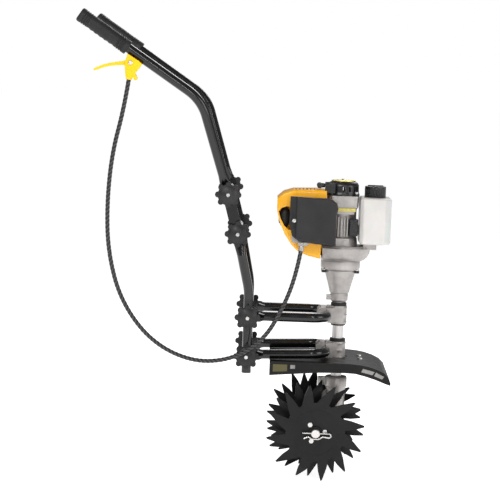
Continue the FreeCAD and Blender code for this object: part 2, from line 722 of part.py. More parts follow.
def guard_bracket():
    sleeve = ring(TUBE_R, 18, (TUBE_X, 0, 128), (TUBE_X, 0, 154.5))
    plate = box(-30, 110, -34, 34, 150.5, 153.5)
    plate = plate.makeFillet(10, [e for e in plate.Edges if e.BoundBox.ZLength > 2.9])
    posts = [rod(6, (x, y, 153), (x, y, 160.5 if x < 70 else 156.8)) for x, y in guard_spots()]
    gussets = [box(TUBE_X - 40, TUBE_X + 40, -1.5, 1.5, 140, 151)]
    body = fuse([sleeve, plate] + posts + gussets).cut(rod(TUBE_R, (TUBE_X, 0, 120), (TUBE_X, 0, 170)))
    for x, y in guard_spots():
        body = body.cut(rod(2.5, (x, y, 148), (x, y, 180)))
    return body


def guard_screws():
    out = []
    for x, y in guard_spots():
        top = 163.5 if x < 70 else 161.6
        head = rod(5.5, (x, y, top), (x, y, top + 3.2))
        out.append(fuse([head, rod(2.5, (x, y, 149), (x, y, top + 1))]))
    return out


# -------------------------------------------------------------------- engine

def clutch_housing():
    outer = [(TUBE_R, CONE_LOW), (16, CONE_LOW), (20.5, 298), (21, 309), (20.5, 314.5), (23.3, 316),
            (23.8, 320), (36.8, 368)]
    outer += [(44, 371.5), (46, 376), (46, 391), (45, FAN_Z)]
    body = lathe([(0, CONE_LOW)] + outer[1:] + [(0, FAN_Z)])
    lug = box(TUBE_X - 30, TUBE_X - 16, -10, 10, 298, 309)
    hollow = [(0, 340), (15, 340), (15, 366), (33, 370.5), (40.5, 373.5), (40.5, 400), (0, 400)]
    body = fuse([body, lug]).cut(lathe(hollow))
    body = body.cut(rod(TUBE_R, (TUBE_X, 0, 280), (TUBE_X, 0, TUBE_TOP)))
    body = body.cut(rod(9, (TUBE_X, 0, TUBE_TOP - 1), (TUBE_X, 0, 341)))
    body = body.cut(box(TUBE_X - 32, TUBE_X - 12, -1.0, 1.0, 292, 311))
    for x, y in deck_spots():
        body = body.cut(rod(3.0, (x, y, 360), (x, y, 400)))
        body = body.cut(rod(6.0, (x, y, 360), (x, y, 371.2)))
    return body


def deck_spots():
    r = 42.6
    return [(TUBE_X + r * math.cos(math.radians(a)), r * math.sin(math.radians(a))) for a in (-25, -155,
            25, 155)]


def fan_housing():
    body = lathe([(30, FAN_Z), (49, FAN_Z), (56, 395), (62, 401), (66.5, 410), (69, DECK_Z), (65.8, DECK_Z),
                  (63, 411), (59, 403.5), (54, 398.5), (48, 395.5), (30, 395.5)])
    body = body.cut(rod(36, (TUBE_X, 0, 390), (TUBE_X, 0, 400)))
    shelf = box(TUBE_X + 50, 128, -34, 34, DECK_Z, TANK_LOW)
    shelf = shelf.cut(rod(60, (TUBE_X, 0, DECK_Z - 1), (TUBE_X, 0, 427.3)))
    rim = ring(60, 69, (TUBE_X, 0, DECK_Z - 0.1), (TUBE_X, 0, DECK_Z + 3))
    body = fuse([body, shelf, rim]).cut(box(-60, 1.5, -90, 90, 380, 440))
    for x, y in deck_spots():
        body = body.cut(rod(3.0, (x, y, 380), (x, y, 399)))
    return body


def flywheel():
    disc = lathe([(7, 404), (57, 404), (57, 407), (30, 408), (16, 417), (7, 417)])
    blades = []
    for k in range(18):
        blade = box(32, 57, -1.2, 1.2, 405, 417)
        blade.rotate(V(44, 0, 0), Z_AXIS, 22)
        blade.rotate(ORIGIN, Z_AXIS, 20 * k)
        blade.translate(V(TUBE_X, 0, 0))
        blades.append(blade)
    rim_cut = lathe([(57, 390), (90, 390), (90, 430), (57, 430)])
    magnet = box(44, 56.5, -11, 11, 405, 417)
    magnet.translate(V(TUBE_X, 0, 0))
    return fuse([disc] + blades + [magnet]).cut(rim_cut)


def crankshaft():
    shaft = rod(7, (TUBE_X, 0, 388), (TUBE_X, 0, 556))
    tail = rod(5, (TUBE_X, 0, 379), (TUBE_X, 0, 389))
    webs = []
    for z0, z1 in ((456, 466), (496, 506)):
        web = rod(24, (TUBE_X, 0, z0), (TUBE_X, 0, z1))
        webs.append(web)
    pin = rod(5, (TUBE_X + 15, 0, 462), (TUBE_X + 15, 0, 498))
    lower = shaft.cut(box(TUBE_X - 8, TUBE_X + 8, -8, 8, 466, 496))
    return fuse([lower, tail, pin] + webs)


def clutch_shoes():
    """Two shoes, their carrier and spring, inside the drum."""
    out = []
    carrier = rod(11, (TUBE_X, 0, 379), (TUBE_X, 0, 387)).cut(rod(5, (TUBE_X, 0, 370), (TUBE_X, 0, 400)))
    plate = box(TUBE_X - 30, TUBE_X + 30, -6, 6, 380, 386).cut(rod(5, (TUBE_X, 0, 370), (TUBE_X, 0, 400)))
    shoe = ring(20, 33.4, (TUBE_X, 0, 378.5), (TUBE_X, 0, 388)).cut(box(0, 100, -6, 6, 370, 400))
    out.append(fuse([carrier, plate]))
    out += shoe.Solids
    return Part.makeCompound(out)


def crankcase():
    """Casting on the crank axis: deck plate, ribbed barrel, top flange and cylinder face."""
    deck = lathe([(7.3, DECK_Z), (59.9, DECK_Z), (59.9, 427), (7.3, 427)])
    barrel = lathe([(7.3, 426), (38, 426), (36, 445), (33, 450), (33, 512), (37, 518), (38, STARTER_Z),
            (7.3, STARTER_Z)])
    face = box(2, TUBE_X, -30, 30, 450, 514)
    near = fuse([box(TUBE_X - 24, TUBE_X + 16, -44, -20, 427, 446), rod(6, (TUBE_X + 8, -48, 436),
            (TUBE_X + 8, -40, 436))])
    fins = [box(TUBE_X - 18 + 7 * k, TUBE_X - 15.5 + 7 * k, -41, -20, 450, 496) for k in range(5)]
    mount = box(TUBE_X - 16, TUBE_X + 26, -43, -20, 503, 512)
    shoulder = box(TUBE_X - 28, TUBE_X + 34, -42, 42, 518, STARTER_Z)
    shoulder = shoulder.makeFillet(4, [e for e in shoulder.Edges if e.BoundBox.ZLength > 20])
    tank_arm = box(TUBE_X + 30, 86, -16, 16, 455, 475)
    body = fuse([deck, barrel, face, near, mount, shoulder, tank_arm] + fins)
    cavity = rod(27, (TUBE_X, 0, 452), (TUBE_X, 0, 510))
    throat = rod(19, (0, 0, 481), (TUBE_X, 0, 481))
    way = rod(7 + RUN, (TUBE_X, 0, 410), (TUBE_X, 0, 560))
    body = body.cut(Part.makeCompound([cavity, throat])).cut(way)
    for x, y in starter_spots():
        body = body.cut(rod(2.5, (x, y, 532), (x, y, 560)))
    return body


def cylinder():
    """Finned barrel lying rearward from the crankcase, with plug boss and ports."""
    z = 481.0
    barrel = ring(18.5, 25, (2, 0, z), (-62, 0, z))
    flange = box(-3, 2, -28, 28, z - 28, z + 28).cut(rod(18.5, (-5, 0, z), (5, 0, z)))
    fins = []
    for k in range(9):
        x = -12 - 6.6 * k
        half = 36 - 0.6 * k
        fin = box(x - 1.1, x + 1.1, -half, half, z - half, z + half)
        fin = fin.makeFillet(9, [e for e in fin.Edges if e.BoundBox.XLength > 2])
        fins.append(fin.cut(rod(18.5, (-70, 0, z), (5, 0, z))))
    head = rod(26, (-68, 0, z), (-60, 0, z))
    plug_boss = rod(10, (-76, 0, z), (-66, 0, z))
    plug = fuse([hexagon(16, (-76, 0, z), (-82, 0, z)), rod(5.5, (-82, 0, z), (-92, 0, z))])
    intake = box(-34, -6, -46, -20, z - 14, z + 14)
    exhaust = box(-44, -8, 20, 46, z - 16, z + 16)
    body = fuse([barrel, flange, head, plug_boss, plug, intake, exhaust] + fins)
    ports = [rod(9, (-20, -50, z), (-20, 0, z)), rod(11, (-26, 0, z), (-26, 50, z))]
    return body.cut(Part.makeCompound(ports)).cut(rod(18.5, (-60, 0, z), (5, 0, z)))


SHROUD = [(-70, 556), (-12, 558), (7, 556), (7, 538), (1, 528), (1, 428), (-2, 397), (-31, 403), (-55, 412),
          (-71, 427), (-88, 452), (-101, 482), (-107, 506), (-107, 536), (-92, 549)]


def shroud_side(points, y0, y1, soft):
    body = prism_y(points, y0, y1)
    edges = [e for e in body.Edges if e.BoundBox.YLength < 0.01 and e.BoundBox.XMax < 6]
    return body.makeFillet(soft, edges)


def engine_shroud():
    outer = shroud_side(SHROUD, -50, 50, 7)
    inner = [(-68.5, 553.2), (-12, 555.2), (20, 555.2), (20, 400), (-1, 400.2), (-30, 406), (-53, 415),
            (-69, 429.5)]
    inner += [(-85.3, 453.5), (-98, 483), (-104, 506.5), (-104, 534.8), (-90.8, 546.6)]
    shell = outer.cut(prism_y(inner, -47, 47))
    cuts = []
    cuts.append(box(-112, -84, -24, 24, 462, 512))
    for k in range(6):
        cuts.append(box(-66 + 8.6 * k, -62 + 8.6 * k, -34, 34, 545, 566))
    for k in range(6):
        y = -36 + 14.4 * k
        cuts.append(box(-80, -20, y - 3, y + 3, 398, 440))
    cuts.append(box(-36, -4, -55, -40, 462, 500))
    cuts.append(box(-46, -6, 40, 55, 462, 500))
    plug_mouth = [(-103.5, 505), (-97, 513), (-84, 518), (-74, 516), (-74, 462), (-79, 463), (-89, 472),
            (-98, 488)]
    cuts.append(prism_y(plug_mouth, -60, -44))
    cuts.append(box(2.6, 7.4, -40.4, -15.6, 550.6, 575.4))
    shell = shell.cut(Part.makeCompound(cuts))
    return shell


def muffler():
    can = rounded_box(-58, 16, 56, 92, 440, 524, 8)
    neck = box(-42, -10, 46, 60, 467, 495).cut(rod(11, (-26, 40, 481), (-26, 70, 481)))
    seam = box(-60, 18, 73, 75.5, 438, 526)
    seam = seam.makeFillet(9, [e for e in seam.Edges if e.BoundBox.YLength > 2])
    outlet = rod(6, (-6, 88, 455), (10, 98, 447))
    body = fuse([can, neck, seam, outlet])
    hollow = rounded_box(-55, 13, 59, 89, 443, 521, 5)
    body = body.cut(hollow).cut(rod(4.6, (-8, 86.5, 456), (12, 99.5, 446)))
    body = body.cut(rod(11, (-26, 40, 481), (-26, 62, 481)))
    slots = [box(-44 + 12 * k, -39 + 12 * k, 90, 95, 500, 514) for k in range(4)]
    return body.cut(Part.makeCompound(slots))


def carburettor():
    """Insulator, carburettor block, filter base plate and the cable stop with its adjuster."""
    z = 481.0
    spacer = box(-32, -8, -52, -46, z - 12, z + 12)
    block = rounded_box(-36, -2, -64, -52, z - 18, z + 18, 2)
    bowl = rod(13, (-20, -58, z - 30), (-20, -58, z - 12))
    base = box(-72, 28, -66, -63, 434, 536)
    base = base.makeFillet(8, [e for e in base.Edges if e.BoundBox.YLength > 2.9])
    body = fuse([spacer, block, bowl.common(box(-60, 60, -63.5, -50, 440, 480)), base])
    throat = rod(9, (-20, -70, z), (-20, -40, z))
    d = unit(CABLE[-2], CABLE[-1])
    end = V(*CABLE[-1])
    top = end + d * 12
    ferrule = rod(6.2, CABLE[-1], (top.x, top.y, top.z))
    shoulder = top + d * 4
    nut = hexagon(10, (top.x, top.y, top.z), (shoulder.x, shoulder.y, shoulder.z))
    stop = box(top.x - 9, top.x + 14, -78, -63.2, 429.5, 436.5)
    wire_end = top + d * 30
    wire = rod(1.2, (top.x, top.y, top.z), (wire_end.x, wire_end.y, wire_end.z))
    return fuse([body.cut(throat), ferrule, nut, stop, wire])


COVER = [(-77, 543), (16, 540.5), (31, 530), (34, 518), (30, 500), (31, 431), (-16, 434.5), (-57, 441),
        (-71, 452), (-78, 480)]


def filter_cover():
    outer = prism_y(COVER, -90, -66)
    outer = outer.makeFillet(5, [e for e in outer.Edges if abs(e.CenterOfMass.y + 90) < 0.1])
    inner = [(-73, 539), (15, 536.7), (28, 527.5), (30.5, 517.5), (26.8, 500), (27.5, 435), (-15.5,
            438.2), (-56, 444.7)]
    inner += [(-68, 454), (-74, 480.5)]
    body = outer.cut(prism_y(inner, -86, -65))
    step = box(-100, -61, -95, -80, 400, 560)
    floor = prism_y([(-75, 541), (-61, 541), (-61, 446), (-69, 453), (-76, 480)], -80, -77)
    wall = box(-62.5, -60, -86, -78, 446, 538)
    body = fuse([body.cut(step), floor, wall])
    d = unit(CABLE[-2], CABLE[-1])
    tip = V(*CABLE[-1]) + d * 46
    body = body.cut(rod(1.8, CABLE[-1], (tip.x, tip.y, tip.z)))
    return body.cut(rod(2.5, (-67, -90, 487), (-67, -60, 487)))


def starter_housing():
    body = lathe([(0, STARTER_Z), (38.5, STARTER_Z), (38.5, 549), (37, 551), (36.5, 569), (33, 575), (29,
            ROOF_Z),
                  (0, ROOF_Z)])
    mouth = fuse([box(0, TUBE_X - 20, -40, -16, 551, 574), rod(11.5, (0, -28, 568), (14, -28, 568))])
    body = fuse([body, mouth.common(box(3, 60, -45, 0, 551, ROOF_Z - 1))])
    lugs = []
    for x, y in starter_spots():
        lugs.append(rod(7, (x, y, STARTER_Z), (x, y, 551)))
    body = fuse([body] + lugs)
    body = body.cut(lathe([(0, 548), (33, 548), (33, 570), (27, 573.5), (0, 573.5)]))
    body = body.cut(rod(7.06, (TUBE_X, 0, 540), (TUBE_X, 0, 550)))
    body = body.cut(rod(2.4, (-5, -28, 568), (25, -28, 568)))
    slots = []
    for k in range(16):
        slot = box(30, 45, -2, 2, 554, 566)
        slot.rotate(ORIGIN, Z_AXIS, 22.5 * k)
        slot.translate(V(TUBE_X, 0, 0))
        if abs(22.5 * k - 225) > 40:
            slots.append(slot)
    body = body.cut(Part.makeCompound(slots))
    for x, y in starter_spots():
        body = body.cut(rod(2.5, (x, y, 530), (x, y, 570)))
        body = body.cut(rod(5.3, (x, y, 551), (x, y, ROOF_Z)))
    return body


def starter_spots():
    return [(TUBE_X - 29, -30), (TUBE_X + 30, -29), (TUBE_X - 28, 31), (TUBE_X + 29, 30)]


def starter_handle():
    x = -10.0
    bar = rod(6.3, (x, -46, 568), (x, -10, 568))
    bar = bar.makeFillet(2.5, [e for e in bar.Edges if e.Closed])
    stem = Part.makeCone(6.0, 5.0, 11, V(x + 1.5, -28, 568), X_AXIS)
    cord = rod(1.9, (x, -28, 568), (24, -28, 568))
    return fuse([bar, stem, cord])


def fuel_tank():
    """Blow-moulded tank with softened edges and a filler neck."""
    x0, x1, y0, y1, z0, z1 = 86.5, 160.0, -54.0, 54.0, TANK_LOW, TANK_TOP
    plan = [(x0, y0 + 8), (x0 + 8, y0), (x1 - 16, y0), (x1, y0 + 16), (x1, y1 - 16), (x1 - 16, y1),
            (x0 + 8, y1)]
    plan.append((x0, y1 - 8))
    pts = [V(x, y, z0) for x, y in plan]
    body = Part.Face(Part.makePolygon(pts + [pts[0]])).extrude(V(0, 0, z1 - z0))
    body = body.makeFillet(6, body.Edges)
    neck = rod(19, (122, 0, 536), (122, 0, 551))
    inner = rounded_box(x0 + 4, x1 - 4, y0 + 10, y1 - 10, z0 + 3, z1 - 3, 4)
    outer = fuse([body, neck])
    return outer.cut(inner).cut(rod(16, (122, 0, 530), (122, 0, 560)))


def fuel_cap():
    z0, z1 = 543.0, 568.5
    body = Part.makeCylinder(25, z1 - z0, V(122, 0, z0), Z_AXIS)
    body = body.makeFillet(3, [e for e in body.Edges if e.Closed and e.CenterOfMass.z > z1 - 1])
    cuts = []
    for k in range(24):
        t = math.radians(15 * k)
        x = 122 + 25.4 * math.cos(t)
        y = 25.4 * math.sin(t)
        cuts.append(rod(1.6, (x, y, z0 + 3), (x, y, z1 - 6)))
    body = body.cut(Part.makeCompound(cuts)).cut(rod(19.06, (122, 0, 540), (122, 0, 551)))
    bar = box(104, 140, -3.5, 3.5, z1 - 1, z1 + 2.5)
    return fuse([body, bar])


def engine_bolts():
    out = []
    for x, y in deck_spots():
        head = hexagon(10, (x, y, 363.3), (x, y, 369.8))
        washer = rod(5.8, (x, y, 369.8), (x, y, 371.2))
        out.append(fuse([head, washer, rod(3.0, (x, y, 369), (x, y, 398))]))
    for x, y in starter_spots():
        out.append(fuse([rod(5, (x, y, 551), (x, y, 555)), rod(2.5, (x, y, 532), (x, y, 553))]))
    out.append(fuse([rod(4.3, (-67, -84, 487), (-67, -80, 487)), rod(2.5, (-67, -81, 487),
            (-67, -66, 487))]))
    return out


def gearbox_screws():
    out = []
    for x, z in cover_spots():
        out.append(fuse([rod(2.7, (x, 27, z), (x, 31, z)), rod(1.5, (x, 10, z), (x, 28, z))]))
    plug = fuse([hexagon(12, (TUBE_X + 8, -17, 66), (TUBE_X + 8, -27, 66)), rod(4, (TUBE_X + 8, -26, 66),
            (TUBE_X + 8, -30, 66))])
    out.append(plug)
    return out


def fasteners():
    """Every fixed screw and bolt of the machine's body."""
    side = frame_bolts()
    out = side + [mirror(s) for s in side]
    out += clamp_bolts(UPPER_Z) + clamp_bolts(LOWER_Z)
    out += guard_screws() + engine_bolts() + gearbox_screws()
    save("fasteners", Part.makeCompound(out))


def engine():
    save("clutch_housing", clutch_housing())
    save("fan_housing", fan_housing())
    save("flywheel", flywheel())
    save("crankshaft", crankshaft())
    save("clutch_shoes", clutch_shoes())
    save("crankcase", crankcase())
    save("cylinder", cylinder())
    save("engine_shroud", engine_shroud())
    save("muffler", muffler())
    save("carburettor", carburettor())
    save("air_filter_cover", filter_cover())
    save("starter_housing", starter_housing())
    save("starter_handle", starter_handle())
    save("fuel_tank", fuel_tank())
    save("fuel_cap", fuel_cap())


# ------------------------------------------------------------------- control

LEVER_PIVOT = (-446.0, 837.0)
CONTROL_Y = -213.5


def lever_housing():
    """Two-wall housing seated against the underside of the handle tube, with a cable boss."""
    bend = (HANDLE_BEND[0], -HANDLE_BEND[1], HANDLE_BEND[2])
    end = (HANDLE_END[0], -HANDLE_END[1], HANDLE_END[2])
    outline = [(-453, 857), (-428, 842), (-420, 835), (-426, 825), (-435, 814), (-431, 807), (-434,
            803.5), (-456, 803.5)]
    outline += [(-457, 812), (-459, 835)]
    body = prism_y(outline, CONTROL_Y - 9, CONTROL_Y + 9)
    body = body.makeFillet(2, [e for e in body.Edges if e.BoundBox.YLength < 0.01])
    pocket = prism_y([(-470, 851), (-440, 851), (-434, 836), (-440, 826), (-470, 820)], CONTROL_Y - 6,
            CONTROL_Y + 6)
    boss = rod(7.0, CABLE[0], along(CABLE[0], CABLE[1], -9))
    pin = rod(3.0, (LEVER_PIVOT[0], CONTROL_Y - 10.5, LEVER_PIVOT[1]), (LEVER_PIVOT[0], CONTROL_Y + 10.5,
            LEVER_PIVOT[1]))
    tube = rod(BAR_R, end, along(end, bend, 200))
    heel = rod(4.5, (-434, CONTROL_Y - 8, 803), (-434, CONTROL_Y + 8, 803))
    return fuse([fuse([body, boss, heel]).cut(pocket), pin]).cut(tube)


def throttle_lever():
    x, z = LEVER_PIVOT
    eye = ring(3.0 + RUN, 8.5, (x, CONTROL_Y - 5.5, z), (x, CONTROL_Y + 5.5, z))
    outline = [(x - 4, z + 6.5), (-468, 840), (-490, 836), (-508, 831), (-522, 825), (-528, 821), (-528,
            816.5)]
    outline += [(-520, 819), (-506, 824.5), (-490, 828.5), (-468, 831), (x - 4, z - 6.5)]
    blade = prism_y(outline, CONTROL_Y - 5.5, CONTROL_Y + 5.5)
    blade = blade.cut(rod(3.0 + RUN, (x, CONTROL_Y - 8, z), (x, CONTROL_Y + 8, z)))
    return fuse([eye, blade])


def throttle_cable():
    radii = corner_radii(CABLE)
    print("cable bend radii", [round(r) for r in radii])
    return sweep(CABLE, radii, CABLE_R)


def control():
    save("lever_housing", lever_housing())
    save("throttle_lever", throttle_lever())
    save("throttle_cable", throttle_cable())


drive_tube()
drive_shaft()
clutch_drum()
worm()
worm_wheel()
gearbox_housing()
gearbox_cover()
bearings()
tine_axle()
tines()
clamps()
frame_tubes()
save("guard", guard())
save("guard_bracket", guard_bracket())
engine()
control()
fasteners()
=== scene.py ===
import math

import bmesh
import bpy
from mathutils import Matrix, Vector


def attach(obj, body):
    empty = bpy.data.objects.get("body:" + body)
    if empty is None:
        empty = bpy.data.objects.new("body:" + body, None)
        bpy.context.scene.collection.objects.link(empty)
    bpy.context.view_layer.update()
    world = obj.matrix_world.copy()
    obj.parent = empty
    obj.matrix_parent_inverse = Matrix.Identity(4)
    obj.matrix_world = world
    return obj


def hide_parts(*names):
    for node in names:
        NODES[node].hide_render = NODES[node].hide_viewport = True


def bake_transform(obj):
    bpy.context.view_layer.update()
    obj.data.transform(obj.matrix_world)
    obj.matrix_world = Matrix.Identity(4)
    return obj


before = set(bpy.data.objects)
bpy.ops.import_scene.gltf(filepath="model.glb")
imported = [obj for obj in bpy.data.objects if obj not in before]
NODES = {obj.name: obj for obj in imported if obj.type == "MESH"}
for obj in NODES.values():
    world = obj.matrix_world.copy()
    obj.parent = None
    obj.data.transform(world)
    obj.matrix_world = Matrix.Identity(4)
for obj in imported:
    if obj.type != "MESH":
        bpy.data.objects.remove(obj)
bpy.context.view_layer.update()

# Places in metres, in the frame of part.py
TUBE_X = 0.0467
HANDLE_BEND = Vector((-0.2862, -0.188, 0.759))
HANDLE_END = Vector((-0.558, -0.219, 0.939))
GRIP_LENGTH = 0.126
LEVER_PIVOT = Vector((-0.446, -0.2135, 0.837))
DECK_BOLTS_R = 0.0426
DECK_BOLTS_Z = 0.3631
DECK_BOLT_ANGLES = (-25, -155, 25, 155)
LABEL_Y = -0.1213
FLOOR_Z = -0.1162

# Camera and light
CAMERA_LENS = 140.81
CAMERA_PLACE = (-0.13272, -4.58572, 0.84457)
CAMERA_YAW = -0.00751
CAMERA_PITCH = 0.09501
CAMERA_ROLL = 0.0355
SOFT_LIGHT = 0.25
FLOOR_GLOW = 0.77
LIGHTS_AIM_AT = Vector((-0.15, 0, 0.45))
LIGHTS = [
    ("key", (-1.5, -2.6, 2.7), (1.6, 1.2), 64.0),
    ("strip", (0.7, -3.4, 1.7), (0.22, 2.6), 22.0),
    ("fill", (2.4, -1.6, 1.3), (1.4, 1.4), 24.0),
    ("back", (0.6, 2.4, 2.3), (1.8, 1.2), 34.0),
]

# Part of the noise's range that drives roughness
NOISE_LOW = 0.35
NOISE_HIGH = 0.65

# Throttle cable
CABLE_RADIUS = 0.005
CABLE_MEETS_Z = 0.410
CABLE_SIDES = 30
WOUND_STRANDS = 3
WOUND_PITCH = 0.0100
WOUND_STEP = 0.0011
WOUND_DEPTH = 0.11
CABLE_ROUTE = [
    (-0.449, -0.214, 0.800),
    (-0.458, -0.212, 0.735),
    (-0.482, -0.208, 0.635),
    (-0.491, -0.201, 0.520),
    (-0.486, -0.194, 0.410),
    (-0.455, -0.187, 0.300),
    (-0.385, -0.179, 0.208),
    (-0.290, -0.172, 0.163),
    (-0.200, -0.166, 0.170),
    (-0.128, -0.146, 0.214),
    (-0.084, -0.112, 0.290),
    (-0.058, -0.088, 0.362),
    (-0.049, -0.076, 0.416),
]


# ------------------------------------------------------------------ helpers

def add_object(name, mesh, material=None, smooth=True):
    obj = bpy.data.objects.new(name, mesh)
    bpy.context.scene.collection.objects.link(obj)
    if material:
        mesh.materials.append(material)
    if smooth:
        for poly in mesh.polygons:
            poly.use_smooth = True
    return obj


def mesh_from(name, verts, faces):
    mesh = bpy.data.meshes.new(name)
    mesh.from_pydata([tuple(v) for v in verts], [], faces)
    mesh.update()
    return mesh


def clean_normals(mesh):
    bm = bmesh.new()
    bm.from_mesh(mesh)
    bmesh.ops.recalc_face_normals(bm, faces=bm.faces)
    bm.to_mesh(mesh)
    bm.free()


def bevel(obj, width, segments=2, angle=35):
    mod = obj.modifiers.new("soft_edges", "BEVEL")
    mod.width = width
    mod.segments = segments
    mod.limit_method = "ANGLE"
    mod.angle_limit = math.radians(angle)
    mod.harden_normals = False


def smooth_by_angle(obj, angle=35):
    obj.data.set_sharp_from_angle(angle=math.radians(angle))


def axis_frame(direction):
    """Two unit vectors square to a direction."""
    d = direction.normalized()
    up = Vector((0, 0, 1)) if abs(d.z) < 0.95 else Vector((1, 0, 0))
    side = d.cross(up).normalized()
    return side, side.cross(d).normalized()


def lathe(name, origin, direction, profile, material, segments=48, shape=None):
    """Surface of revolution from (distance, radius) pairs; shape may vary the radius round the turn."""
    d = direction.normalized()
    side, up = axis_frame(d)
    verts = []
    faces = []
    for dist, radius in profile:
        for k in range(segments):
            t = 2 * math.pi * k / segments
            r = radius if shape is None else shape(dist, radius, t)
            verts.append(origin + d * dist + side * (r * math.cos(t)) + up * (r * math.sin(t)))
    rows = len(profile)
    for i in range(rows - 1):
        for k in range(segments):
            a = i * segments + k
            b = i * segments + (k + 1) % segments
            faces.append((a, b, b + segments, a + segments))
    faces.append(tuple(range(segments)))
    faces.append(tuple(range((rows - 1) * segments, rows * segments)))
    mesh = mesh_from(name, verts, faces)
    clean_normals(mesh)
    obj = add_object(name, mesh, material)
    smooth_by_angle(obj, 40)
    return obj


def plate(name, corners, thickness, normal, material, round_by=0.0006):
    """Thin prism on an outline, with softened edges."""
    n = Vector(normal).normalized() * thickness
    count = len(corners)
    verts = [Vector(c) for c in corners] + [Vector(c) + n for c in corners]
    faces = [tuple(range(count)), tuple(range(count, 2 * count))]
    for k in range(count):
        j = (k + 1) % count
        faces.append((k, j, j + count, k + count))
    mesh = mesh_from(name, verts, faces)
    clean_normals(mesh)
    obj = add_object(name, mesh, material, smooth=False)
    bevel(obj, round_by, 2)
    return obj


# ---------------------------------------------------------------- materials

class Shader:
    """A Principled material whose colour, roughness and bump come from object-space noise."""

    def __init__(self, name):
        self.material = bpy.data.materials.new(name)
        self.material.use_nodes = True
        self.tree = self.material.node_tree
        self.bsdf = self.tree.nodes["Principled BSDF"]
        coords = self.tree.nodes.new("ShaderNodeTexCoord")
        self.coord = coords.outputs["Object"]
        self.height = None

    def set(self, **values):
        for key, value in values.items():
            self.bsdf.inputs[key.replace("_", " ")].default_value = value
        return self

    def mapped(self, scale):
        node = self.tree.nodes.new("ShaderNodeMapping")
        node.inputs["Scale"].default_value = scale
        self.tree.links.new(self.coord, node.inputs["Vector"])
        return node.outputs["Vector"]

    def noise(self, scale, detail=4.0, rough=0.55, stretch=None):
        node = self.tree.nodes.new("ShaderNodeTexNoise")
        node.inputs["Scale"].default_value = scale
        node.inputs["Detail"].default_value = detail
        node.inputs["Roughness"].default_value = rough
        source = self.coord if stretch is None else self.mapped(stretch)
        self.tree.links.new(source, node.inputs["Vector"])
        return node.outputs["Fac"]

    def ramp(self, fac, stops):
        node = self.tree.nodes.new("ShaderNodeValToRGB")
        while len(node.color_ramp.elements) < len(stops):
            node.color_ramp.elements.new(0.5)
        for element, (pos, colour) in zip(node.color_ramp.elements, stops):
            element.position = pos
            element.color = (*colour, 1.0)
        self.tree.links.new(fac, node.inputs["Fac"])
        return node.outputs["Color"]

    def colour(self, fac, stops):
        self.tree.links.new(self.ramp(fac, stops), self.bsdf.inputs["Base Color"])
        return self

    def roughness(self, fac, low, high):
        node = self.tree.nodes.new("ShaderNodeMapRange")
        node.inputs["From Min"].default_value = NOISE_LOW
        node.inputs["From Max"].default_value = NOISE_HIGH
        node.inputs["To Min"].default_value = low
        node.inputs["To Max"].default_value = high
        self.tree.links.new(fac, node.inputs["Value"])
        self.tree.links.new(node.outputs["Result"], self.bsdf.inputs["Roughness"])
        return self

    def bump(self, fac, distance, strength=1.0):
        node = self.tree.nodes.new("ShaderNodeBump")
        node.inputs["Distance"].default_value = distance
        node.inputs["Strength"].default_value = strength
        self.tree.links.new(fac, node.inputs["Height"])
        if self.height is not None:
            self.tree.links.new(self.height, node.inputs["Normal"])
        self.height = node.outputs["Normal"]
        self.tree.links.new(self.height, self.bsdf.inputs["Normal"])
        return self


def enamel(name, dark, light, low, high, coat, specular=0.3):
    s = Shader(name)
    broad = s.noise(9.0, 5.0)
    s.colour(broad, [(0.35, dark), (0.7, light)])
    s.roughness(s.noise(60.0, 6.0), low, high)
    s.bump(s.noise(420.0, 2.0), 0.00006)
    s.bump(s.noise(35.0, 2.0), 0.00012, 0.5)
    s.set(Coat_Weight=coat, Coat_Roughness=0.12, IOR=1.5, Specular_IOR_Level=specular)
    return s.material


def cast_metal(name, dark, light, low=0.36, high=0.52, grain=1400.0):
    s = Shader(name)
    broad = s.noise(26.0, 7.0, 0.62)
    s.colour(broad, [(0.3, dark), (0.72, light)])
    s.roughness(s.noise(140.0, 5.0), low, high)
    s.bump(s.noise(grain, 3.0, 0.6), 0.00012)
    s.bump(s.noise(180.0, 4.0), 0.00016, 0.6)
    s.set(Metallic=0.72)
    return s.material


def drawn_metal(name, dark, light, low, high, stretch, metallic=1.0):
    s = Shader(name)
    fine = s.noise(240.0, 5.0, 0.6, stretch)
    s.colour(fine, [(0.3, dark), (0.7, light)])
    s.roughness(fine, low, high)
    s.bump(fine, 0.00003)
    s.bump(s.noise(30.0, 3.0), 0.00008, 0.4)
    s.set(Metallic=metallic)
    return s.material


def moulded(name, dark, light, low, high, grain=900.0, depth=0.00008, **more):
    s = Shader(name)
    broad = s.noise(14.0, 6.0, 0.6)
    s.colour(broad, [(0.32, dark), (0.7, light)])
    s.roughness(s.noise(90.0, 6.0), low, high)
    s.bump(s.noise(grain, 2.0), depth)
    s.bump(s.noise(22.0, 2.0), 0.00022, 0.35)
    s.set(**more)
    return s.material


def conduit_plastic():
    """Wound conduit: grey painted highlight on the crowns of the strands, near black painted shade in the
    hollows between them.
    """
    s = Shader("conduit_plastic")
    groove_and_shade = s.tree.nodes.new("ShaderNodeAttribute")
    groove_and_shade.attribute_name = "groove_and_shade"
    # Painted highlight: grey on the strand crowns. Painted shade: near black in the hollows between
    # strands.
    s.colour(groove_and_shade.outputs["Fac"], [(0.05, (0.060, 0.055, 0.056)), (0.5, (0.0085, 0.0078, 0.008))])
    s.roughness(s.noise(90.0, 6.0), 0.3, 0.46)
    s.bump(s.noise(900.0, 2.0), 0.00006)
    return s.set(Specular_IOR_Level=0.4).material


